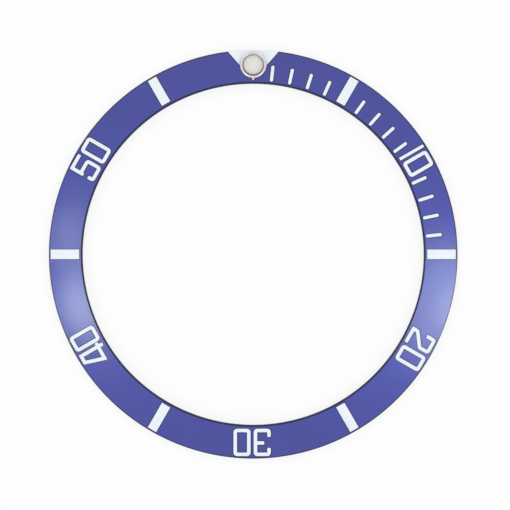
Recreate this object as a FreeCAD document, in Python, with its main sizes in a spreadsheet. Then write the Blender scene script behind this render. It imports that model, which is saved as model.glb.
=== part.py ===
import FreeCAD, Part
import math
import os

import Sketcher

# Numbered insert of a rotating watch bezel, in millimetres.
# The ring lies on its back: its flat back face is on Z = 0 and the numbered face
# looks up. The origin is on the ring's axis in the back face, and the zero
# triangle with its luminous pearl points along +Y.

Vector = FreeCAD.Vector
doc = FreeCAD.newDocument("bezel_insert")

# Driving sizes: millimetres, and degrees where the name says so.
SIZES = {
    # ring
    "outer_diameter": 38.0,
    "ring_width": 3.15,
    "rim_height": 0.70,
    "face_slope_deg": 6.0,
    "rim_chamfer": 0.05,
    "bore_chamfer": 0.16,
    "back_chamfer": 0.08,
    # pockets that hold the lacquer, each with a fine groove round it
    "pocket_depth": 0.20,
    "lacquer_drop": 0.02,
    "groove_width": 0.08,
    "groove_depth": 0.05,
    # long marks between the numerals
    "bar_width": 0.90,
    "bar_bore_margin": 0.32,
    "bar_rim_margin": 0.15,
    # short marks of the first quarter
    "stroke_width": 0.31,
    "stroke_length": 1.52,
    "stroke_bore_margin": 0.28,
    # zero triangle
    "triangle_bore_margin": 0.30,
    "triangle_neck": 0.07,
    # numerals
    "digit_width": 1.60,
    "digit_line": 0.34,
    "digit_corner": 0.34,
    "digit_end": 0.12,
    "digit_gap": 0.28,
    "numeral_shift": 0.10,
    "numeral_bore_margin": 0.35,
    "numeral_rim_margin": 0.22,
    "one_line": 0.29,
    "two_stub": 0.30,
    "two_shoulder": 0.25,
    "two_heel": 0.69,
    "three_stub": 0.50,
    "three_tongue": 0.20,
    "three_waist": 0.05,
    "four_apex": 0.06,
    "four_bar": 0.71,
    "four_overhang": 0.23,
    "four_foot": 0.05,
    "five_waist": 0.18,
    "five_tail": 0.14,
    "five_stub": 0.58,
    # pearl
    "pearl_rim_margin": 0.17,
    "pearl_bore_margin": 0.48,
    "bead_width": 0.22,
    "bead_height": 0.42,
    "flange_thickness": 0.12,
    "flange_overlap": 0.40,
    "spigot_wall": 0.13,
    "spigot_floor": 0.12,
    "flare_lip": 0.12,
    "flare_height": 0.16,
    "pearl_clearance": 0.02,
    "back_clearance": 0.03,
    "lume_gap": 0.19,
    "lume_bed": 0.10,
    "dome_gap": 0.13,
    "dome_side": 0.05,
    "dome_rise": 0.36,
}

sheet = doc.addObject("Spreadsheet::Sheet", "Sizes")
for row, (alias, value) in enumerate(SIZES.items(), start=1):
    sheet.set(f"A{row}", alias)
    sheet.set(f"B{row}", str(value))
    sheet.setAlias(f"B{row}", alias)
doc.recompute()


def size(alias):
    """A value of the sheet as a number."""
    return float(sheet.get(alias))


# Shared places, written as the expressions that sketches and solids are bound to.
RIM = "(Sizes.outer_diameter / 2)"
BORE = "(Sizes.outer_diameter / 2 - Sizes.ring_width)"
BEAD = "((Sizes.ring_width - Sizes.pearl_rim_margin - Sizes.pearl_bore_margin) / 2)"
PEARL = f"({RIM} - Sizes.pearl_rim_margin - {BEAD})"
STEM = f"({BEAD} - Sizes.flange_overlap)"
PEARL_HOLE = f"({STEM} + Sizes.pearl_clearance)"


def face_height(radius):
    """Height of the sloping face at a radius."""
    return f"(Sizes.rim_height + ({RIM} - ({radius})) * tan(Sizes.face_slope_deg))"


THROUGH = f"(2 * {face_height(BORE)})"


def bound_polygon(sketch, corners):
    """Closed outline whose corners are bound to (x, y) expressions."""
    count = len(corners)
    turns = [2 * math.pi * k / count for k in range(count)]
    start = [Vector(math.cos(turn), math.sin(turn), 0) for turn in turns]
    for k in range(count):
        sketch.addGeometry(Part.LineSegment(start[k], start[(k + 1) % count]), False)
    for k in range(count):
        sketch.addConstraint(Sketcher.Constraint("Coincident", k, 2, (k + 1) % count, 1))
    for k, (x, y) in enumerate(corners):
        for kind, value, first in (("DistanceX", x, start[k].x), ("DistanceY", y, start[k].y)):
            index = sketch.addConstraint(Sketcher.Constraint(kind, -1, 1, k, 1, first))
            sketch.setExpression(f"Constraints[{index}]", value)


def turned_body(name, corners):
    """Body made by turning a section, given as (radius, height), about Z."""
    body = doc.addObject("PartDesign::Body", name)
    doc.recompute()
    section = body.newObject("Sketcher::SketchObject", f"{name}_section")
    plane = next(item for item in body.Origin.OriginFeatures if item.Role == "XZ_Plane")
    section.AttachmentSupport = (plane, "")
    section.MapMode = "FlatFace"
    bound_polygon(section, corners)
    turning = body.newObject("PartDesign::Revolution", f"{name}_turning")
    turning.Profile = section
    turning.ReferenceAxis = (section, ["V_Axis"])
    turning.Angle = 360
    doc.recompute()
    return body


def solid(kind, name, **bindings):
    """A Part primitive or operation whose properties are bound to expressions."""
    item = doc.addObject(f"Part::{kind}", name)
    for path, value in bindings.items():
        item.setExpression(path.replace("__", "."), value)
    return item


def combined(kind, name, *parts):
    """A Part boolean: Cut and Common take two objects, MultiFuse any number."""
    result = doc.addObject(f"Part::{kind}", name)
    if kind == "MultiFuse":
        result.Shapes = list(parts)
    else:
        result.Base, result.Tool = parts
    return result


# The ring before it is marked.
def make_blank():
    shoulder = f"{RIM} - Sizes.rim_chamfer"
    lip = f"{BORE} + Sizes.bore_chamfer"
    return turned_body("ring_blank", [
        (f"{BORE} + Sizes.back_chamfer", "0"),
        (f"{RIM} - Sizes.back_chamfer", "0"),
        (RIM, "Sizes.back_chamfer"),
        (RIM, f"{face_height(RIM)} - Sizes.rim_chamfer"),
        (shoulder, face_height(shoulder)),
        (lip, face_height(lip)),
        (BORE, f"{face_height(BORE)} - Sizes.bore_chamfer"),
        (BORE, "Sizes.back_chamfer"),
    ])


# Layers that follow the sloping face. A mark's outline cuts its piece out of each.
def make_cutting_layer(name, depth):
    outside = f"({RIM} + Sizes.ring_width)"
    return turned_body(name, [
        (BORE, f"{face_height(BORE)} - {depth}"),
        (outside, f"{face_height(outside)} - {depth}"),
        (outside, THROUGH),
        (BORE, THROUGH),
    ])


def make_lacquer_layer():
    shoulder = f"{RIM} - Sizes.rim_chamfer"
    return turned_body("lacquer_layer", [
        (BORE, f"{face_height(BORE)} - Sizes.pocket_depth"),
        (RIM, f"{face_height(RIM)} - Sizes.pocket_depth"),
        (RIM, f"{face_height(RIM)} - Sizes.lacquer_drop - Sizes.rim_chamfer"),
        (shoulder, f"{face_height(shoulder)} - Sizes.lacquer_drop"),
        (BORE, f"{face_height(BORE)} - Sizes.lacquer_drop"),
    ])


# Outlines of the marks, at 12 o'clock, extruded clear through the ring. A mark's
# outline grown by the groove's width is the outline of the groove round it.
def bar_prism(name, grow):
    start = f"({BORE} + Sizes.bar_bore_margin - {grow})"
    end = f"({RIM} - Sizes.bar_rim_margin + {grow})"
    return solid("Box", name, Length=f"Sizes.bar_width + 2 * {grow}", Width=f"{end} - {start}",
                 Height=THROUGH, Placement__Base__x=f"-Sizes.bar_width / 2 - {grow}",
                 Placement__Base__y=start)


def stroke_prism(name, grow):
    start = f"({BORE} + Sizes.stroke_bore_margin + Sizes.stroke_width / 2)"
    length = "(Sizes.stroke_length - Sizes.stroke_width)"
    radius = f"Sizes.stroke_width / 2 + {grow}"
    middle = solid("Box", f"{name}_middle", Length=f"2 * ({radius})", Width=length,
                   Height=THROUGH, Placement__Base__x=f"-({radius})", Placement__Base__y=start)
    ends = [solid("Cylinder", f"{name}_{end}", Radius=radius, Height=THROUGH, Placement__Base__y=y)
            for end, y in (("inner_end", start), ("outer_end", f"{start} + {length}"))]
    return combined("MultiFuse", name, middle, *ends)


def triangle_prism(name, grow):
    """Triangle whose sides pass the pearl's hole and leave a neck of lacquer beside it."""
    tip = f"({BORE} + Sizes.triangle_bore_margin)"
    half_angle = f"asin(({PEARL_HOLE} + Sizes.triangle_neck) / ({PEARL} - {tip}))"
    grown_tip = f"({tip} - {grow} / sin({half_angle}))"
    base = f"({RIM} + Sizes.ring_width)"
    half = f"({base} - {grown_tip}) * tan({half_angle})"
    outline = doc.addObject("Sketcher::SketchObject", f"{name}_outline")
    bound_polygon(outline, [("0", grown_tip), (half, base), (f"-({half})", base)])
    return extruded(name, outline)


def extruded(name, outline):
    prism = solid("Extrusion", name, LengthFwd=THROUGH)
    prism.Base = outline
    prism.DirMode = "Custom"
    prism.Dir = Vector(0, 0, 1)
    prism.Solid = True
    return prism


def rounded_face(corners):
    """Flat face from corners (point, radius), each radius a tangent arc."""
    joints = []
    for k, (here, radius) in enumerate(corners):
        if radius == 0:
            joints.append((here, None, here))
            continue
        back = (corners[k - 1][0] - here).normalize()
        ahead = (corners[(k + 1) % len(corners)][0] - here).normalize()
        half_angle = back.getAngle(ahead) / 2
        reach = radius / math.tan(half_angle)
        middle = here + (back + ahead).normalize() * (radius / math.sin(half_angle) - radius)
        joints.append((here + back * reach, middle, here + ahead * reach))
    edges = []
    for k, (first, middle, last) in enumerate(joints):
        if middle:
            edges.append(Part.Arc(first, middle, last).toShape())
        edges.append(Part.LineSegment(last, joints[(k + 1) % len(joints)][0]).toShape())
    return Part.Face(Part.Wire(edges))


def pen_line(points, line, corner, ends, grow):
    """Face of a drawn line, rounded at its outer corners and by ends at its ends."""
    half = line / 2 + grow
    widest_end = 0.98 * half
    path = [Vector(x, y, 0) for x, y in points]
    runs = [(path[k + 1] - path[k]).normalize() for k in range(len(path) - 1)]
    path[0] -= runs[0] * grow
    path[-1] += runs[-1] * grow
    end_radii = [min(radius + grow, widest_end) if radius else 0 for radius in ends]
    left, right = [], []
    for k, here in enumerate(path):
        before = runs[max(k - 1, 0)]
        after = runs[min(k, len(runs) - 1)]
        across = Vector(-before.y - after.y, before.x + after.x, 0)
        mitre = across * (half / (1 + before.dot(after)))
        turn = before.cross(after).z
        outside = corner + grow if corner else 0
        left_radius = outside if turn < 0 else 0
        right_radius = outside if turn > 0 else 0
        if k == 0:
            left_radius = right_radius = end_radii[0]
        elif k == len(path) - 1:
            left_radius = right_radius = end_radii[1]
        left.append((here + mitre, left_radius))
        right.append((here - mitre, right_radius))
    return rounded_face(left + right[::-1])


def make_digits(grow):
    """Faces of the digits 0 to 5, each centred on the origin."""
    line = size("digit_line")
    height = size("ring_width") - size("numeral_bore_margin") - size("numeral_rim_margin")
    right = (size("digit_width") - line) / 2
    top = (height - line) / 2
    edge_x = right + line / 2
    edge_y = top + line / 2
    left, bottom = -right, -top
    corner = size("digit_corner")
    tight = line / 4
    flat, rounded = 0, size("digit_end")

    def box(width, tall, radius):
        places = ((-width, -tall), (width, -tall), (width, tall), (-width, tall))
        return rounded_face([(Vector(x, y, 0), radius) for x, y in places])

    def drawn(points, radius, start, end):
        return pen_line(points, line, radius, (start, end), grow)

    zero = box(edge_x + grow, edge_y + grow, corner + grow).cut(
        box(edge_x - line - grow, edge_y - line - grow, 0))
    one = pen_line([(0, -edge_y), (0, edge_y)], size("one_line"), 0, (flat, flat), grow)
    two = [
        drawn([(left, size("two_stub")), (left, top), (right, top), (right, size("two_shoulder")),
               (left, -size("two_heel")), (left, -edge_y)], corner, flat, flat),
        drawn([(-edge_x, bottom), (edge_x, bottom)], 0, flat, flat),
    ]
    three = [
        drawn([(left, size("three_stub")), (left, top), (right, top), (right, bottom),
               (left, bottom), (left, -size("three_stub"))], corner, rounded, rounded),
        drawn([(-size("three_tongue"), size("three_waist")), (right, size("three_waist"))],
              0, rounded, flat),
    ]
    four = [
        drawn([(edge_x + size("four_overhang"), -size("four_bar")), (left, -size("four_bar")),
               (-size("four_apex"), top), (right, top)], tight, rounded, flat),
        drawn([(right, -edge_y + size("four_foot")), (right, edge_y)], 0, rounded, flat),
    ]
    five = [
        drawn([(edge_x, top), (left, top), (left, -size("five_tail"))], tight, flat, rounded),
        drawn([(left, size("five_waist")), (right, size("five_waist")), (right, bottom),
               (left, bottom), (left, -size("five_stub"))], corner, flat, rounded),
    ]
    joined = [first.fuse(second).removeSplitter() for first, second in (two, three, four, five)]
    return [zero, one] + joined


def numeral_prism(name, tens, grow):
    """The tens digit and its zero, side by side with their tops towards the rim."""
    digits = make_digits(grow)
    zero_width = size("digit_width")
    tens_width = size("one_line") if tens == 1 else zero_width
    start = size("numeral_shift") - (tens_width + size("digit_gap") + zero_width) / 2
    zero_start = start + tens_width + size("digit_gap")
    outer = size("outer_diameter") / 2 - size("numeral_rim_margin")
    inner = size("outer_diameter") / 2 - size("ring_width") + size("numeral_bore_margin")
    middle = (outer + inner) / 2
    first = digits[tens].translated(Vector(start + tens_width / 2, middle, 0))
    last = digits[0].translated(Vector(zero_start + zero_width / 2, middle, 0))
    outline = doc.addObject("Part::Feature", f"{name}_outline")
    outline.Shape = first.fuse(last)
    return extruded(name, outline)


# The pearl stands square to the sloping face, in a hole through the zero triangle.
# Its pieces are made round Z with the face at Z = 0, then seated in the ring.
SEAT = (f"placement(vector(0, {PEARL}, {face_height(PEARL)}), "
        "rotation(vector(1, 0, 0), -Sizes.face_slope_deg))")
FLARE = f"({STEM} + Sizes.flare_lip)"
SPIGOT = (f"(({face_height(PEARL)} - Sizes.back_clearance - {FLARE} * sin(Sizes.face_slope_deg))"
          " / cos(Sizes.face_slope_deg))")
CUP = f"({STEM} - Sizes.spigot_wall)"
CUP_FLOOR = f"(Sizes.spigot_floor - {SPIGOT})"
RECESS = f"({BEAD} - Sizes.bead_width)"


def seated(item):
    item.setExpression("Placement", SEAT)
    return item


def make_pearl_hole():
    """Hole for the spigot, with a counterbore at the back for its flared end."""
    below = f"-2 * {SPIGOT}"
    hole = solid("Cylinder", "pearl_hole_bore", Placement__Base__z=below, Height=f"4 * {SPIGOT}",
                 Radius=PEARL_HOLE)
    counterbore = solid("Cylinder", "pearl_hole_counterbore", Placement__Base__z=below,
                        Height=f"{SPIGOT} + Sizes.flare_height",
                        Radius=f"{FLARE} + Sizes.pearl_clearance")
    return seated(combined("MultiFuse", "pearl_hole", hole, counterbore))


def make_setting():
    """Metal cup: spigot flared at the back, flange on the face and rounded bead."""
    bead_level = "(Sizes.bead_height - Sizes.bead_width / 2)"
    flare_top = f"(Sizes.flare_height - {SPIGOT})"
    cup = turned_body("pearl_cup", [
        ("0", f"-{SPIGOT}"),
        (FLARE, f"-{SPIGOT}"),
        (FLARE, flare_top),
        (STEM, flare_top),
        (STEM, "0"),
        (BEAD, "0"),
        (BEAD, bead_level),
        (RECESS, bead_level),
        (RECESS, "Sizes.flange_thickness"),
        (CUP, "Sizes.flange_thickness"),
        (CUP, CUP_FLOOR),
        ("0", CUP_FLOOR),
    ])
    bead = solid("Torus", "pearl_bead", Radius1=f"{BEAD} - Sizes.bead_width / 2",
                 Radius2="Sizes.bead_width / 2", Placement__Base__z=bead_level)
    return seated(combined("MultiFuse", "pearl_setting", cup, bead))


def make_lume():
    """Luminous compound: it fills the cup and stands on the flange as a low bed."""
    radius = f"({RECESS} - Sizes.lume_gap)"
    top = "(Sizes.flange_thickness + Sizes.lume_bed)"
    return seated(turned_body("pearl_lume", [
        ("0", CUP_FLOOR),
        (CUP, CUP_FLOOR),
        (CUP, "Sizes.flange_thickness"),
        (radius, "Sizes.flange_thickness"),
        (radius, top),
        ("0", top),
    ]))


def make_dome():
    """Clear lens on the luminous bed: a low wall under a spherical cap."""
    radius = f"({RECESS} - Sizes.dome_gap)"
    sphere = f"(({radius} ^ 2 + Sizes.dome_rise ^ 2) / (2 * Sizes.dome_rise))"
    base = "(Sizes.flange_thickness + Sizes.lume_bed)"
    cap = solid("Sphere", "pearl_dome_cap", Radius=sphere,
                Placement__Base__z=f"{base} + Sizes.dome_side + Sizes.dome_rise - {sphere}")
    wall = solid("Cylinder", "pearl_dome_wall", Radius=radius, Placement__Base__z=base,
                 Height="Sizes.dome_side + 2 * Sizes.dome_rise")
    return seated(combined("Common", "pearl_dome", cap, wall))


# Each mark's lacquer is its own piece. The pocket and groove that it needs are
# kept, and are cut from the ring when all the marks are known.
lacquer_layer = make_lacquer_layer()
pocket_layer = make_cutting_layer("pocket_layer", "Sizes.pocket_depth")
groove_layer = make_cutting_layer("groove_layer", "Sizes.groove_depth")
cuts = []


def inlaid(name, prism, groove_prism, minute):
    """Lacquer of a mark, turned clockwise to its minute."""
    lacquer = combined("Common", name, prism, lacquer_layer)
    pocket = combined("Common", f"{name}_pocket", prism, pocket_layer)
    groove = combined("Common", f"{name}_groove", groove_prism, groove_layer)
    for piece in (lacquer, pocket, groove):
        piece.Placement.Rotation = FreeCAD.Rotation(Vector(0, 0, 1), -360 * minute / 60)
    cuts.extend([pocket, groove])
    return lacquer


GROOVE = "Sizes.groove_width"
parts = []

stroke = stroke_prism("stroke_prism", "0")
stroke_groove = stroke_prism("stroke_groove_prism", GROOVE)
for minute in (1, 2, 3, 4, 6, 7, 8, 9, 11, 12, 13, 14):
    parts.append(inlaid(f"stroke_{minute:02d}", stroke, stroke_groove, minute))

bar = bar_prism("bar_prism", "0")
bar_groove = bar_prism("bar_groove_prism", GROOVE)
for minute in range(5, 60, 10):
    parts.append(inlaid(f"bar_{minute:02d}", bar, bar_groove, minute))

for minute in range(10, 60, 10):
    digits = numeral_prism(f"numeral_{minute}_prism", minute // 10, 0)
    digits_groove = numeral_prism(f"numeral_{minute}_groove_prism", minute // 10,
                                  size("groove_width"))
    parts.append(inlaid(f"numeral_{minute}", digits, digits_groove, minute))

pearl_hole = make_pearl_hole()
triangle = inlaid("triangle_lacquer", triangle_prism("triangle_prism", "0"),
                  triangle_prism("triangle_groove_prism", GROOVE), 0)
parts.append(combined("Cut", "zero_triangle", triangle, pearl_hole))
parts.extend([make_setting(), make_lume(), make_dome()])

all_cuts = combined("MultiFuse", "all_cuts", *cuts, pearl_hole)
parts.append(combined("Cut", "insert_ring", make_blank(), all_cuts))

doc.recompute()
failed = [item.Label for item in doc.Objects if {"Invalid", "Error"} & set(item.State)]
failed += [part.Label for part in parts if part.Shape.isNull() or not part.Shape.isValid()]
if failed:
    raise RuntimeError(f"not built: {sorted(set(failed))}")

os.makedirs("parts", exist_ok=True)
for part in parts:
    part.Shape.exportStep(f"parts/{part.Label}.step")
    print(part.Label, len(part.Shape.Solids), round(part.Shape.Volume, 3))
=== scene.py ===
import math

import bmesh
import bpy
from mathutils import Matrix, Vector


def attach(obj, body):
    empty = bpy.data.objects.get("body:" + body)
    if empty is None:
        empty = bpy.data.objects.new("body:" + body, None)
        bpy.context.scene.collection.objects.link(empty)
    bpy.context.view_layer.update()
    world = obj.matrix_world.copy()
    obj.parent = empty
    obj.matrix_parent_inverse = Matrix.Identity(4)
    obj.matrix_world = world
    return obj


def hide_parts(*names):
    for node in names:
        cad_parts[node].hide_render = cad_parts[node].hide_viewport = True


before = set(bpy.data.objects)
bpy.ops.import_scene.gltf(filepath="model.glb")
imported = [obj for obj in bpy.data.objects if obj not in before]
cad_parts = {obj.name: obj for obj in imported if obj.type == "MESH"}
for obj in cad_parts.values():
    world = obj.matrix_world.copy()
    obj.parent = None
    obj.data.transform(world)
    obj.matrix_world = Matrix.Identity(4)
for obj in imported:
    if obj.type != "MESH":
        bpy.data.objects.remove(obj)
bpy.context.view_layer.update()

# Camera. The insert is seen from straight above, with the zero triangle at the top,
# through a long lens. The middle of the picture lies a little off the ring's axis.
FACE_LEVEL = 0.00085
CAMERA_DISTANCE = 0.35
VIEW_WIDTH = 0.0474
LOOK_AT = (0.000167, -0.000065)

bpy.ops.object.camera_add(location=(*LOOK_AT, FACE_LEVEL + CAMERA_DISTANCE), rotation=(0, 0, 0))
camera = bpy.context.object
camera.data.lens = camera.data.sensor_width * CAMERA_DISTANCE / VIEW_WIDTH
bpy.context.scene.camera = camera

# Studio. White paper under the insert, a white tent that is darker near the horizon,
# and small soft lamps whose images in the sloping face are its sheens.
FLOOR_SIZE = 3.0
PAPER_GLOW = 0.80
# The tent's colour by height, which is 0 at the horizon and 1 straight up.
HORIZON, LOW_TENT, HIGH_TENT = (0.30, 0.30, 0.31, 1), (0.72, 0.72, 0.74, 1), (1.0, 1.0, 1.0, 1)
LOW_HEIGHT, HIGH_HEIGHT = 0.25, 0.60
TENT_STRENGTH = 0.98
# Each lamp: clock angle of its image in the face and tilt from straight up, in degrees,
# width in metres, power in watts.
LAMPS = {
    "lamp_right": (104, 18.2, 0.090, 0.080),
    "lamp_right_core": (105, 19.6, 0.030, 0.018),
    "lamp_left": (253, 15.8, 0.045, 0.050),
    "lamp_left_low": (276, 16.4, 0.040, 0.017),
}
LAMP_DISTANCE, LAMP_COLOUR = 0.5, (0.88, 1.0, 0.94)


def linear(code):
    """The linear colour of an sRGB hex code."""
    shares = [int(code[k:k + 2], 16) / 255 for k in (1, 3, 5)]
    return (*(s / 12.92 if s <= 0.04045 else ((s + 0.055) / 1.055) ** 2.4 for s in shares), 1.0)


def add(tree, kind, *inputs, **settings):
    """Adds a node. An input is (socket, value or output to link); the rest are its settings."""
    node = tree.nodes.new(kind)
    for name, value in settings.items():
        setattr(node, name, value)
    for socket, value in inputs:
        if isinstance(value, bpy.types.NodeSocket):
            tree.links.new(value, node.inputs[socket])
        else:
            node.inputs[socket].default_value = value
    return node


def calculate(tree, operation, *values):
    return add(tree, "ShaderNodeMath", *enumerate(values), operation=operation).outputs[0]


def blank_material(name):
    material = bpy.data.materials.new(name)
    material.use_nodes = True
    material.node_tree.nodes.clear()
    return material, material.node_tree


bpy.context.scene.view_settings.view_transform = "Standard"

bpy.ops.mesh.primitive_plane_add(size=FLOOR_SIZE)
floor = bpy.context.object
floor.name = "paper_floor"
# The paper is plain matt white to the light, and shows to the camera, to metal and
# through glass with a glow that brings it to the white of the background.
paper, tree = blank_material("white_paper")
path = add(tree, "ShaderNodeLightPath").outputs
in_metal = calculate(tree, "MAXIMUM", path["Is Camera Ray"], path["Is Glossy Ray"])
in_glass = calculate(tree, "MAXIMUM", in_metal, path["Is Transmission Ray"])
share = calculate(tree, "MULTIPLY", in_glass, PAPER_GLOW)
matt = add(tree, "ShaderNodeBsdfDiffuse", ("Color", linear("#FFFFFF"))).outputs[0]
glow = add(tree, "ShaderNodeEmission", ("Color", linear("#FFFFFF")), ("Strength", 1.0)).outputs[0]
mixed = add(tree, "ShaderNodeMixShader", (0, share), (1, matt), (2, glow)).outputs[0]
add(tree, "ShaderNodeOutputMaterial", ("Surface", mixed))
floor.data.materials.append(paper)

world = bpy.data.worlds.new("white_tent")
bpy.context.scene.world = world
world.use_nodes = True
tree = world.node_tree
tree.nodes.clear()
direction = add(tree, "ShaderNodeTexCoord").outputs["Generated"]
height = add(tree, "ShaderNodeSeparateXYZ", ("Vector", direction)).outputs["Z"]
tent = add(tree, "ShaderNodeValToRGB", ("Fac", height))
stops = tent.color_ramp.elements
stops[0].color = HORIZON
stops[1].position = HIGH_HEIGHT
stops[1].color = HIGH_TENT
stops.new(LOW_HEIGHT).color = LOW_TENT
lit = add(tree, "ShaderNodeBackground", ("Color", tent.outputs["Color"]), ("Strength", TENT_STRENGTH))
ground = add(tree, "ShaderNodeBackground", ("Color", linear("#FFFFFF")), ("Strength", 1.0))
seen = add(tree, "ShaderNodeLightPath").outputs["Is Camera Ray"]
mixed = add(tree, "ShaderNodeMixShader", (0, seen), (1, lit.outputs[0]), (2, ground.outputs[0]))
add(tree, "ShaderNodeOutputWorld", ("Surface", mixed.outputs[0]))

for name, (clock, tilt, width, power) in LAMPS.items():
    turn, lean = math.radians(90 - clock), math.radians(tilt)
    place = (LAMP_DISTANCE * math.sin(lean) * math.cos(turn),
             LAMP_DISTANCE * math.sin(lean) * math.sin(turn), LAMP_DISTANCE * math.cos(lean))
    bpy.ops.object.light_add(type="AREA", location=place, rotation=(0, lean, turn))
    lamp = bpy.context.object
    lamp.name = name
    lamp.data.shape = "DISK"
    lamp.data.size = width
    lamp.data.energy = power
    lamp.data.color = LAMP_COLOUR

# Ring. Turned from aluminium sheet, its marks engraved, then anodised and dyed blue
# in one bath. Its chamfers and engraving are darkened with painted shade. This piece and all
# others are modelled in millimetres, and brought to metres when they are done.
MM = 0.001
RIM, BORE = 19.0, 15.85
SLOPE = math.radians(6)
RIM_HEIGHT = 0.70
RIM_CHAMFER, BORE_CHAMFER, BACK_CHAMFER = 0.05, 0.16, 0.08
RING_STEPS = 360
# The face is slightly crowned: it touches a true cone in its middle, and both its
# edges lie CROWN below that cone.
CROWN, CROWN_STEPS = 0.012, 8
WELD = 1e-4


def face_height(radius):
    return RIM_HEIGHT + (RIM - radius) * math.tan(SLOPE)


def new_piece(primitive, **settings):
    """Adds a primitive, with nothing else selected."""
    bpy.ops.object.select_all(action="DESELECT")
    primitive(**settings)
    return bpy.context.object


def start_piece(name):
    """One vertex at the origin, in edit mode, to be drawn out."""
    piece = new_piece(bpy.ops.mesh.primitive_plane_add, size=1)
    piece.name = piece.data.name = name
    bpy.ops.object.mode_set(mode="EDIT")
    bpy.ops.mesh.select_mode(type="VERT")
    bpy.ops.mesh.select_all(action="SELECT")
    bpy.ops.mesh.merge(type="CENTER")
    return piece


def draw_line(points):
    """Draws edges from the first point to the last, and leaves them selected."""
    bpy.ops.transform.translate(value=points[0])
    for here, there in zip(points, points[1:]):
        step = tuple(b - a for a, b in zip(here, there))
        bpy.ops.mesh.extrude_vertices_move(TRANSFORM_OT_translate={"value": step})
    bpy.ops.mesh.select_all(action="SELECT")
    bpy.ops.mesh.remove_doubles(threshold=WELD)
    bpy.ops.mesh.select_all(action="SELECT")


def weld_and_face_outwards():
    bpy.ops.mesh.select_all(action="SELECT")
    bpy.ops.mesh.remove_doubles(threshold=WELD)
    bpy.ops.mesh.normals_make_consistent(inside=False)


def turned(name, section, steps):
    """A piece turned about Z from its section of (radius, height) points: a loop, or a line
    that starts and ends on the axis."""
    piece = start_piece(name)
    on_axis = section[0][0] < WELD and section[-1][0] < WELD
    outline = section if on_axis else section + section[:1]
    draw_line([(radius, 0, level) for radius, level in outline])
    bpy.ops.mesh.spin(steps=steps, angle=math.tau, center=(0, 0, 0), axis=(0, 0, 1))
    weld_and_face_outwards()
    bpy.ops.object.mode_set(mode="OBJECT")
    return piece


lip, shoulder = BORE + BORE_CHAMFER, RIM - RIM_CHAMFER
crowned_face = []
for step in range(CROWN_STEPS + 1):
    share = step / CROWN_STEPS
    radius = shoulder + (lip - shoulder) * share
    crowned_face.append((radius, face_height(radius) + CROWN * (4 * share * (1 - share) - 1)))
ring = turned("ring", [
    (BORE + BACK_CHAMFER, 0),
    (RIM - BACK_CHAMFER, 0),
    (RIM, BACK_CHAMFER),
    (RIM, face_height(RIM) - RIM_CHAMFER),
    *crowned_face,
    (BORE, face_height(BORE) - BORE_CHAMFER),
    (BORE, BACK_CHAMFER),
], RING_STEPS)

# Engraving. Each mark is a pocket with a fine groove round it. A mark's prism is made
# flat at 12 o'clock, round its own middle, as wide as grow asks: plain for the lacquer
# and the pocket, wider for the groove.
LACQUER_DROP, POCKET_DEPTH = 0.02, 0.20
GROOVE_WIDTH, GROOVE_DEPTH = 0.08, 0.05
GROOVE_CUT_TOP, POCKET_CUT_TOP = 0.4, 0.2
BAR_WIDTH, BAR_INNER, BAR_OUTER = 0.90, BORE + 0.32, RIM - 0.15
STROKE_WIDTH, STROKE_LENGTH, STROKE_INNER = 0.31, 1.52, BORE + 0.28
STROKE_ROUND_STEPS = 32
PEARL, PEARL_HOLE, PEARL_NECK = RIM - 0.17 - 1.25, 0.87, 0.07
TRIANGLE_TIP = BORE + 0.30
TRIANGLE_HALF_ANGLE = math.asin((PEARL_HOLE + PEARL_NECK) / (PEARL - TRIANGLE_TIP))
SHEET_MARGIN = 1


def pick(kind, test):
    """Selects, in edit mode, only the vertices, edges or faces that pass a test."""
    bpy.ops.mesh.select_mode(type=kind)
    bpy.ops.mesh.select_all(action="DESELECT")
    mesh = bpy.context.object.data
    shape = bmesh.from_edit_mesh(mesh)
    for item in {"VERT": shape.verts, "EDGE": shape.edges, "FACE": shape.faces}[kind]:
        item.select_set(test(item))
    shape.select_flush_mode()
    bmesh.update_edit_mesh(mesh)


def take(piece):
    """Makes a piece the only one that operators act on."""
    bpy.ops.object.select_all(action="DESELECT")
    bpy.context.view_layer.objects.active = piece
    piece.select_set(True)


def apply_place(piece):
    """Moves a piece's place, turn and scale into its mesh."""
    take(piece)
    bpy.ops.object.transform_apply(location=True, rotation=True, scale=True)


def apply_modifier(piece, kind, **settings):
    take(piece)
    modifier = piece.modifiers.new(kind.lower(), kind)
    for name, value in settings.items():
        setattr(modifier, name, value)
    bpy.ops.object.modifier_apply(modifier=modifier.name)


def combine(piece, other, operation):
    """Cuts other from piece, joins it on, or keeps what both share. Other is used up."""
    apply_modifier(piece, "BOOLEAN", operation=operation, solver="EXACT", object=other)
    bpy.data.objects.remove(other)
    bpy.ops.object.mode_set(mode="EDIT")
    weld_and_face_outwards()
    bpy.ops.object.mode_set(mode="OBJECT")


def seat_on_face(piece, middle, minute):
    """Lays a piece that was made flat, round its own middle, on the sloping face."""
    piece.location = (0, middle, face_height(middle))
    piece.rotation_euler = (-SLOPE, 0, 0)
    apply_place(piece)
    piece.rotation_euler = (0, 0, -math.tau * minute / 60)
    apply_place(piece)
    return piece


def raise_flat(piece, low, high):
    """Makes a prism of a flat outline."""
    take(piece)
    bpy.ops.object.mode_set(mode="EDIT")
    bpy.ops.mesh.select_all(action="SELECT")
    bpy.ops.transform.translate(value=(0, 0, low))
    bpy.ops.mesh.extrude_region_move(TRANSFORM_OT_translate={"value": (0, 0, high - low)})
    weld_and_face_outwards()
    bpy.ops.object.mode_set(mode="OBJECT")
    return piece


def bar_prism(grow, low, high):
    """A plain oblong."""
    bar = new_piece(bpy.ops.mesh.primitive_plane_add, size=1)
    bar.scale = (BAR_WIDTH + 2 * grow, BAR_OUTER - BAR_INNER + 2 * grow, 1)
    apply_place(bar)
    return raise_flat(bar, low, high)


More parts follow.
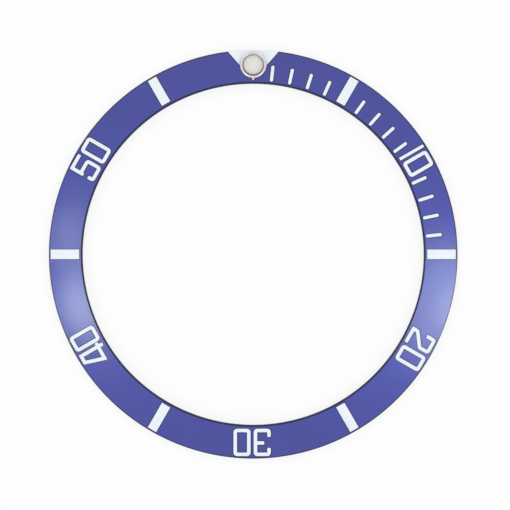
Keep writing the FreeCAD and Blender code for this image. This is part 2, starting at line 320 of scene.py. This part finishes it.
def stroke_prism(grow, low, high):
    """A disc, its halves drawn apart. It is turned by half a step, to leave no vertex between them."""
    stroke = new_piece(bpy.ops.mesh.primitive_circle_add, vertices=STROKE_ROUND_STEPS,
                       radius=STROKE_WIDTH / 2 + grow, fill_type="NGON",
                       rotation=(0, 0, math.pi / STROKE_ROUND_STEPS))
    apply_place(stroke)
    bpy.ops.object.mode_set(mode="EDIT")
    for side in (1, -1):
        pick("VERT", lambda vertex: vertex.co.y * side > 0)
        bpy.ops.transform.translate(value=(0, side * (STROKE_LENGTH - STROKE_WIDTH) / 2, 0))
    bpy.ops.object.mode_set(mode="OBJECT")
    return raise_flat(stroke, low, high)


def triangle_prism(grow, low, high):
    """A sheet that reaches past the rim, with all but the triangle cut away along its two sides."""
    triangle = new_piece(bpy.ops.mesh.primitive_plane_add, size=2 * (RIM + SHEET_MARGIN))
    bpy.ops.object.mode_set(mode="EDIT")
    tip = TRIANGLE_TIP - grow / math.sin(TRIANGLE_HALF_ANGLE)
    for side in (1, -1):
        bpy.ops.mesh.select_all(action="SELECT")
        outwards = (side * math.cos(TRIANGLE_HALF_ANGLE), -math.sin(TRIANGLE_HALF_ANGLE), 0)
        bpy.ops.mesh.bisect(plane_co=(0, tip, 0), plane_no=outwards, clear_outer=True)
    bpy.ops.mesh.select_all(action="SELECT")
    bpy.ops.transform.translate(value=(0, -PEARL, 0))
    bpy.ops.object.mode_set(mode="OBJECT")
    return raise_flat(triangle, low, high)


# The numerals are drawn with a flat pen that leaves square inner corners and rounded
# outer ones. A pen line: points, width, outer corner radius, radius of its first and
# last end, and whether it closes on itself.
NUMERAL_INNER, NUMERAL_OUTER, NUMERAL_SHIFT = BORE + 0.35, RIM - 0.22, 0.10
DIGIT_WIDTH, DIGIT_GAP, PEN, THIN_PEN = 1.60, 0.28, 0.34, 0.29
SIDE, TOP = (DIGIT_WIDTH - PEN) / 2, (NUMERAL_OUTER - NUMERAL_INNER - PEN) / 2
EDGE_X, EDGE_Y = SIDE + PEN / 2, TOP + PEN / 2
BOLD, TIGHT = PEN, PEN / 4
SOFT = 0.12
DIGITS = {
    0: [([(-SIDE, -TOP), (SIDE, -TOP), (SIDE, TOP), (-SIDE, TOP)], PEN, BOLD, (0, 0), True)],
    1: [([(0, -EDGE_Y), (0, EDGE_Y)], THIN_PEN, 0, (0, 0), False)],
    2: [([(-SIDE, 0.30), (-SIDE, TOP), (SIDE, TOP), (SIDE, 0.25), (-SIDE, -0.69), (-SIDE, -EDGE_Y)],
         PEN, BOLD, (0, 0), False),
        ([(-EDGE_X, -TOP), (EDGE_X, -TOP)], PEN, 0, (0, 0), False)],
    3: [([(-SIDE, 0.50), (-SIDE, TOP), (SIDE, TOP), (SIDE, -TOP), (-SIDE, -TOP), (-SIDE, -0.50)],
         PEN, BOLD, (SOFT, SOFT), False),
        ([(-0.20, 0.05), (SIDE, 0.05)], PEN, 0, (SOFT, 0), False)],
    4: [([(EDGE_X + 0.23, -0.71), (-SIDE, -0.71), (-0.06, TOP), (SIDE, TOP)],
         PEN, TIGHT, (SOFT, 0), False),
        ([(SIDE, -EDGE_Y + 0.05), (SIDE, EDGE_Y)], PEN, 0, (SOFT, 0), False)],
    5: [([(EDGE_X, TOP), (-SIDE, TOP), (-SIDE, -0.14)], PEN, TIGHT, (0, SOFT), False),
        ([(-SIDE, 0.18), (SIDE, 0.18), (SIDE, -TOP), (-SIDE, -TOP), (-SIDE, -0.58)],
         PEN, BOLD, (0, SOFT), False)],
}
CORNER_STEPS = 6
# An end's rounding stops short of the middle of the line, so that some flat is left.
END_SHARE = 0.98
# An upright edge this near to a corner's place is that corner's.
EDGE_NEAR = 0.002
PEN_WALL = 1
# An outline's points that are closer than OUTLINE_WELD are one point, and a bend below
# STRAIGHT is none: what the union leaves finer than that would spoil the engraving.
OUTLINE_WELD, STRAIGHT = 0.003, math.radians(1)
# A face is level where its normal's upright share is over this.
LEVEL_FACE = 0.9


def corners_to_round(path, stroke, half, grow):
    """The upright edges of a pen line's wall that get rounded: each place and how far the
    rounding reaches from it."""
    _, _, bend, (first_end, last_end), closed = stroke
    corners = []
    for k, here in enumerate(path):
        before = (here - path[k - 1]).normalized() if k or closed else None
        after = (path[(k + 1) % len(path)] - here).normalized() if k < len(path) - 1 or closed else None
        if before is None or after is None:
            along = before if after is None else after
            end = first_end if before is None else last_end
            across = Vector((-along.y, along.x, 0)) * half
            if end:
                reach = min(end + grow, END_SHARE * half)
                corners += [(here + across, reach), (here - across, reach)]
        elif bend:
            turn = before.cross(after).z
            mitre = Vector((-before.y - after.y, before.x + after.x, 0)) * (half / (1 + before.dot(after)))
            half_corner = (math.pi - before.angle(after)) / 2
            outer = here - mitre if turn > 0 else here + mitre
            corners.append((outer, (bend + grow) / math.tan(half_corner)))
    return corners


def pen_line(stroke, shift, grow):
    """A line drawn out, raised to a wall, thickened to the pen's width and rounded outside."""
    points, line, _, _, closed = stroke
    half = line / 2 + grow
    path = [Vector((x + shift, y, 0)) for x, y in points]
    if not closed:
        path[0] += (path[0] - path[1]).normalized() * grow
        path[-1] += (path[-1] - path[-2]).normalized() * grow
    piece = start_piece("pen_line")
    draw_line([tuple(point) for point in path + path[:1] * closed])
    bpy.ops.mesh.extrude_edges_move(TRANSFORM_OT_translate={"value": (0, 0, PEN_WALL)})
    bpy.ops.object.mode_set(mode="OBJECT")
    apply_modifier(piece, "SOLIDIFY", thickness=2 * half, offset=0, use_even_offset=True)

    bpy.ops.object.mode_set(mode="EDIT")
    for place, reach in corners_to_round(path, stroke, half, grow):
        pick("EDGE", lambda edge: all((v.co.xy - place.xy).length < EDGE_NEAR for v in edge.verts))
        bpy.ops.mesh.bevel(offset=reach, segments=CORNER_STEPS, affect="EDGES")
    weld_and_face_outwards()
    bpy.ops.object.mode_set(mode="OBJECT")
    return piece


def digit_prism(digit, middle):
    """A digit's pen lines joined. Only their common outline is kept and raised."""
    def prism(grow, low, high):
        lines = [pen_line(stroke, middle, grow) for stroke in DIGITS[digit]]
        for other in lines[1:]:
            combine(lines[0], other, "UNION")
        take(lines[0])
        bpy.ops.object.mode_set(mode="EDIT")
        pick("FACE", lambda face: face.normal.z > -LEVEL_FACE)
        bpy.ops.mesh.delete(type="FACE")
        bpy.ops.mesh.select_all(action="SELECT")
        bpy.ops.mesh.remove_doubles(threshold=OUTLINE_WELD)
        bpy.ops.mesh.dissolve_limited(angle_limit=STRAIGHT)
        bpy.ops.object.mode_set(mode="OBJECT")
        return raise_flat(lines[0], low, high)
    return prism


def numeral_prisms(tens):
    """The tens digit and its zero side by side, tops towards the rim."""
    tens_width = THIN_PEN if tens == 1 else DIGIT_WIDTH
    start = NUMERAL_SHIFT - (tens_width + DIGIT_GAP + DIGIT_WIDTH) / 2
    return [digit_prism(tens, start + tens_width / 2),
            digit_prism(0, start + tens_width + DIGIT_GAP + DIGIT_WIDTH / 2)]


# Each mark: its prisms, the radius of its middle, and its minute.
MARKS = {"zero_triangle": ([triangle_prism], PEARL, 0)}
for minute in range(1, 15):
    if minute % 5:
        MARKS[f"stroke_{minute:02d}"] = ([stroke_prism], STROKE_INNER + STROKE_LENGTH / 2, minute)
for minute in range(5, 60, 10):
    MARKS[f"bar_{minute:02d}"] = ([bar_prism], (BAR_INNER + BAR_OUTER) / 2, minute)
for minute in range(10, 60, 10):
    MARKS[f"numeral_{minute}"] = (numeral_prisms(minute // 10), (NUMERAL_INNER + NUMERAL_OUTER) / 2, minute)


# The pearl's hole, with a counterbore at the back for its flared end.
FLARE, FLARE_HEIGHT, STEM_RADIUS = 0.97, 0.16, 0.85
PEARL_CLEARANCE, BACK_CLEARANCE = 0.02, 0.03
STEM = (face_height(PEARL) - BACK_CLEARANCE - FLARE * math.sin(SLOPE)) / math.cos(SLOPE)
HOLE_TOP, HOLE_BOTTOM = 1, -2
PEARL_STEPS = 96


def pearl_hole():
    counterbore, ledge = FLARE + PEARL_CLEARANCE, FLARE_HEIGHT - STEM
    hole = turned("hole", [
        (0, HOLE_TOP), (PEARL_HOLE, HOLE_TOP), (PEARL_HOLE, ledge), (counterbore, ledge),
        (counterbore, HOLE_BOTTOM), (0, HOLE_BOTTOM),
    ], PEARL_STEPS)
    return seat_on_face(hole, PEARL, 0)


for prisms, middle, minute in MARKS.values():
    for prism in prisms:
        cutter = prism(GROOVE_WIDTH, -GROOVE_DEPTH, GROOVE_CUT_TOP)
        combine(cutter, prism(0, -POCKET_DEPTH, POCKET_CUT_TOP), "UNION")
        combine(ring, seat_on_face(cutter, middle, minute), "DIFFERENCE")
combine(ring, pearl_hole(), "DIFFERENCE")

# Dyed, anodised aluminium. Under the clear oxide the metal is tinted; the oxide itself
# mirrors without colour, so the lamps show as pale sheens on the blue.
FACE_ROUGHNESS, FACE_RELIEF = (0.31, 0.38), 0.06
# The turning tool feeds 0.02 mm a turn. The lines are drawn 0.12 mm apart, so that they show.
LINE_PITCH = 0.12 * MM
# The bath leaves clouds of slightly deeper blue, about 5 mm across.
CLOUD_SIZE = 5
# Painted shade: the engraving and the chamfers are coloured dark. They are
# told from the face by their depth below it, and from the back by their height.
DEEP, SHALLOW = -0.035 * MM, -0.018 * MM
UNSHADED_BELOW, SHADED_ABOVE = 0.40 * MM, 0.45 * MM
# Along both edges of the face the painted shade is a fine line.
RIM_LINE, BORE_LINE, LINE_FADE = (RIM - 0.12) * MM, (BORE + 0.18) * MM, 0.03 * MM
BUMP_DEPTH = 0.01 * MM
FACE_SMOOTHING = 20


def point_on_piece(tree):
    return add(tree, "ShaderNodeTexCoord").outputs["Object"]


def distance_from_axis(tree, place, axis_y):
    """How far a point is from the upright line through (0, axis_y), all in metres."""
    moved = add(tree, "ShaderNodeVectorMath", (0, place), (1, (0, axis_y, 0)), operation="SUBTRACT")
    flat = add(tree, "ShaderNodeVectorMath", (0, moved.outputs[0]), (1, (1, 1, 0)), operation="MULTIPLY")
    return add(tree, "ShaderNodeVectorMath", (0, flat.outputs[0]), operation="LENGTH").outputs["Value"]


def noise(tree, place, swell, detail):
    """Noise with swells this many millimetres across."""
    return add(tree, "ShaderNodeTexNoise", ("Vector", place), ("Scale", 1 / (swell * MM)),
               ("Detail", detail)).outputs["Fac"]


def remap(tree, value, source, target):
    """Brings a value from one range to another, and stops at its ends."""
    return add(tree, "ShaderNodeMapRange", ("Value", value), ("From Min", source[0]), ("From Max", source[1]),
               ("To Min", target[0]), ("To Max", target[1])).outputs[0]


def blend(tree, share, first, second):
    """The first colour where share is 0, the second where it is 1."""
    return add(tree, "ShaderNodeMix", (0, share), (6, first), (7, second), data_type="RGBA").outputs[2]


def relief(tree, height, strength):
    return add(tree, "ShaderNodeBump", ("Height", height), ("Strength", strength),
               ("Distance", BUMP_DEPTH)).outputs[0]


def finish_material(tree, *inputs):
    """Ends a material with its principled shader."""
    shader = add(tree, "ShaderNodeBsdfPrincipled", *inputs)
    add(tree, "ShaderNodeOutputMaterial", ("Surface", shader.outputs[0]))


def finish_piece(piece, material, slot, smooth_below, *nodes):
    """Brings a piece to metres, smooths its soft edges and gives it its finish and its body."""
    piece.scale = (MM, MM, MM)
    apply_place(piece)
    bpy.ops.object.shade_smooth_by_angle(angle=math.radians(smooth_below))
    piece.data.materials.clear()
    piece.data.materials.append(material)
    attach(piece, "root")
    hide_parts(*nodes)


anodised, tree = blank_material("dyed_anodised_aluminium")
place = point_on_piece(tree)
radius = distance_from_axis(tree, place, 0)
level = add(tree, "ShaderNodeSeparateXYZ", ("Vector", place)).outputs["Z"]

line_place = calculate(tree, "MULTIPLY", radius, 1 / LINE_PITCH)
lines = add(tree, "ShaderNodeTexNoise", ("W", line_place), ("Scale", 1.0), ("Detail", 2.0),
            noise_dimensions="1D").outputs["Fac"]
clouds = noise(tree, place, CLOUD_SIZE, 1.0)
blue = blend(tree, clouds, linear("#2D348E"), linear("#333B96"))

cone_top = (RIM_HEIGHT + RIM * math.tan(SLOPE)) * MM
fall = calculate(tree, "MULTIPLY_ADD", radius, math.tan(SLOPE), -cone_top)
depth = calculate(tree, "ADD", fall, level)
# Painted shade: the engraving, the chamfers and fine lines along both edges of the face get the near-black
# blue below.
below_face = remap(tree, depth, (DEEP, SHALLOW), (1, 0))
over_back = remap(tree, level, (UNSHADED_BELOW, SHADED_ABOVE), (0, 1))
engraved = calculate(tree, "MULTIPLY", below_face, over_back)
at_rim = remap(tree, radius, (RIM_LINE, RIM_LINE + LINE_FADE), (0, 1))
at_bore = remap(tree, radius, (BORE_LINE, BORE_LINE + LINE_FADE), (1, 0))
face_edge = calculate(tree, "MAXIMUM", at_rim, at_bore)
painted_shade = calculate(tree, "MAXIMUM", face_edge, engraved)
finish_material(tree, ("Base Color", blend(tree, painted_shade, blue, linear("#00064C"))), ("Metallic", 1.0),
                ("Roughness", remap(tree, lines, (0, 1), FACE_ROUGHNESS)),
                ("Normal", relief(tree, lines, FACE_RELIEF)),
                ("Coat Weight", 1.0), ("Coat Roughness", 0.15), ("Coat IOR", 1.60))
finish_piece(ring, anodised, "blue_anodised_aluminium", FACE_SMOOTHING, "insert_ring")

# Lacquer of the marks. A silver-white epoxy lacquer, wiped into the pockets wet and
# cured hard, so that each mark has a soft edge and a faint gloss.
LACQUER_EDGE, LACQUER_EDGE_STEPS = 0.03, 3
LACQUER_ROUGHNESS, PEEL_RELIEF = (0.26, 0.34), 0.10
# Cured lacquer has a faint orange peel, about 0.4 mm from swell to swell.
PEEL_SIZE = 0.4
DISC_HEIGHT = 2
EDGE_SMOOTHING = 40


def join(pieces, name):
    """Several separate pieces as one object."""
    take(pieces[0])
    for piece in pieces:
        piece.select_set(True)
    bpy.ops.object.join()
    pieces[0].name = pieces[0].data.name = name
    return pieces[0]


lacquer, tree = blank_material("silver_white_lacquer")
peel = noise(tree, point_on_piece(tree), PEEL_SIZE, 2.0)
finish_material(tree, ("Base Color", blend(tree, peel, linear("#E9F0FA"), linear("#F2F7FD"))),
                ("Roughness", remap(tree, peel, (0, 1), LACQUER_ROUGHNESS)),
                ("Normal", relief(tree, peel, PEEL_RELIEF)), ("IOR", 1.52))

for node, (prisms, middle, minute) in MARKS.items():
    fill = join([prism(0, -POCKET_DEPTH, -LACQUER_DROP) for prism in prisms], f"lacquer_{node}")
    seat_on_face(fill, middle, minute)
    if node == "zero_triangle":
        disc = turned("disc", [(0, 0), (RIM, 0), (RIM, DISC_HEIGHT), (0, DISC_HEIGHT)], RING_STEPS)
        combine(fill, disc, "INTERSECT")
    take(fill)
    bpy.ops.object.mode_set(mode="EDIT")
    pick("FACE", lambda face: face.normal.z > LEVEL_FACE)
    bpy.ops.mesh.region_to_loop()
    bpy.ops.mesh.bevel(offset=LACQUER_EDGE, segments=LACQUER_EDGE_STEPS, affect="EDGES", loop_slide=False)
    bpy.ops.object.mode_set(mode="OBJECT")
    if node == "zero_triangle":
        combine(fill, pearl_hole(), "DIFFERENCE")
    finish_piece(fill, lacquer, "silver_white_lacquer", EDGE_SMOOTHING, node)

# Pearl setting. A cup turned from stainless steel and polished, with a rounded bead,
# pushed through the triangle from the front and flared over at the back.
BEAD, BEAD_WIDTH, BEAD_HEIGHT = 1.25, 0.22, 0.42
FLANGE, CUP_WALL, CUP_BOTTOM = 0.12, 0.13, 0.12
BEAD_ARC_STEPS = 16
STEEL_ROUGHNESS = (0.08, 0.18)
# The polishing mop leaves fine haze; its 0.01 mm hairlines are drawn 0.05 mm wide, so that they show.
HAZE_SIZE = 0.05
# Painted shade darkens the recess round the dome to a dull brown. It fades
# out between these distances from the recess's wall.
SHADE_FROM_RECESS, UNSHADED_FROM_RECESS = -0.06, -0.02


def arc(middle, radius, first, last, steps):
    """Points of an arc in the section, its angles in degrees from the radius direction."""
    turns = [math.radians(first + (last - first) * k / steps) for k in range(steps + 1)]
    return [(middle[0] + radius * math.cos(t), middle[1] + radius * math.sin(t)) for t in turns]


recess, cup = BEAD - BEAD_WIDTH, STEM_RADIUS - CUP_WALL
cup_floor = CUP_BOTTOM - STEM
bead_middle = (BEAD - BEAD_WIDTH / 2, BEAD_HEIGHT - BEAD_WIDTH / 2)
setting = turned("pearl_setting_steel", [
    (0, -STEM), (FLARE, -STEM), (FLARE, FLARE_HEIGHT - STEM), (STEM_RADIUS, FLARE_HEIGHT - STEM),
    (STEM_RADIUS, 0), (BEAD, 0),
    *arc(bead_middle, BEAD_WIDTH / 2, 0, 180, BEAD_ARC_STEPS),
    (recess, FLANGE), (cup, FLANGE), (cup, cup_floor), (0, cup_floor),
], PEARL_STEPS)
seat_on_face(setting, PEARL, 0)

steel, tree = blank_material("polished_stainless_steel")
place = point_on_piece(tree)
reach = distance_from_axis(tree, place, PEARL * MM)
recess_shade_edge = ((recess + SHADE_FROM_RECESS) * MM, (recess + UNSHADED_FROM_RECESS) * MM)
outside_recess_shade = remap(tree, reach, recess_shade_edge, (0, 1))
haze = noise(tree, place, HAZE_SIZE, 3.0)
# The dull brown near the dome is painted shade in the recess.
finish_material(tree, ("Base Color", blend(tree, outside_recess_shade, linear("#6E5F5C"), linear("#E6DEE2"))),
                ("Metallic", 1.0), ("Roughness", remap(tree, haze, (0, 1), STEEL_ROUGHNESS)))
finish_piece(setting, steel, "polished_steel", EDGE_SMOOTHING, "pearl_setting")

# Luminous compound. A cream paste of pigment grains in resin, dosed into the cup and
# cured; it stands on the flange as a low bed. Its faint, cool glow is painted light.
LUME_RADIUS, LUME_BED, LUME_EDGE, LUME_EDGE_STEPS = 0.88, 0.10, 0.03, 6
DOME_CONTACT = 0.005
PAINTED_GLOW = 0.13
# Pigment grains are about 0.03 mm; they are drawn 0.08 mm across, so that they show.
GRAIN_SIZE, GRAIN_RELIEF = 0.08, 0.3

lume_top = FLANGE + LUME_BED - DOME_CONTACT
lume_edge_middle = (LUME_RADIUS - LUME_EDGE, lume_top - LUME_EDGE)
lume = turned("luminous_bed", [
    (0, cup_floor), (cup, cup_floor), (cup, FLANGE), (LUME_RADIUS, FLANGE),
    *arc(lume_edge_middle, LUME_EDGE, 0, 90, LUME_EDGE_STEPS), (0, lume_top),
], PEARL_STEPS)
seat_on_face(lume, PEARL, 0)

compound, tree = blank_material("luminous_compound")
grains = add(tree, "ShaderNodeTexVoronoi", ("Vector", point_on_piece(tree)),
             ("Scale", 1 / (GRAIN_SIZE * MM))).outputs["Distance"]
# The emission is painted light that brightens the bed under the dome.
finish_material(tree, ("Base Color", blend(tree, grains, linear("#FFFDF3"), linear("#F6F3E6"))),
                ("Roughness", 0.85), ("Normal", relief(tree, grains, GRAIN_RELIEF)),
                ("Emission Color", linear("#EEF4FF")), ("Emission Strength", PAINTED_GLOW))
finish_piece(lume, compound, "luminous_compound", EDGE_SMOOTHING, "pearl_lume")

# Dome. A lens turned from clear acrylic and polished, bonded on the luminous bed. Fine
# wear dulls it a little in places, about 0.2 mm across.
DOME_RADIUS, DOME_SIDE, DOME_RISE = 0.90, 0.05, 0.36
DOME_STEPS = 24
DOME_ROUGHNESS = (0.01, 0.05)
WEAR_SIZE = 0.2

base = FLANGE + LUME_BED
sphere = (DOME_RADIUS ** 2 + DOME_RISE ** 2) / (2 * DOME_RISE)
dome_middle = (0, base + DOME_SIDE + DOME_RISE - sphere)
edge_angle = math.degrees(math.acos(DOME_RADIUS / sphere))
dome = turned("acrylic_dome", [
    (0, base), (DOME_RADIUS, base),
    *arc(dome_middle, sphere, edge_angle, 90, DOME_STEPS),
], PEARL_STEPS)
seat_on_face(dome, PEARL, 0)

acrylic, tree = blank_material("clear_acrylic")
wear = noise(tree, point_on_piece(tree), WEAR_SIZE, 2.0)
finish_material(tree, ("Base Color", linear("#FFFFFF")),
                ("Roughness", remap(tree, wear, (0, 1), DOME_ROUGHNESS)), ("IOR", 1.49),
                ("Transmission Weight", 1.0))
finish_piece(dome, acrylic, "clear_acrylic", EDGE_SMOOTHING, "pearl_dome")
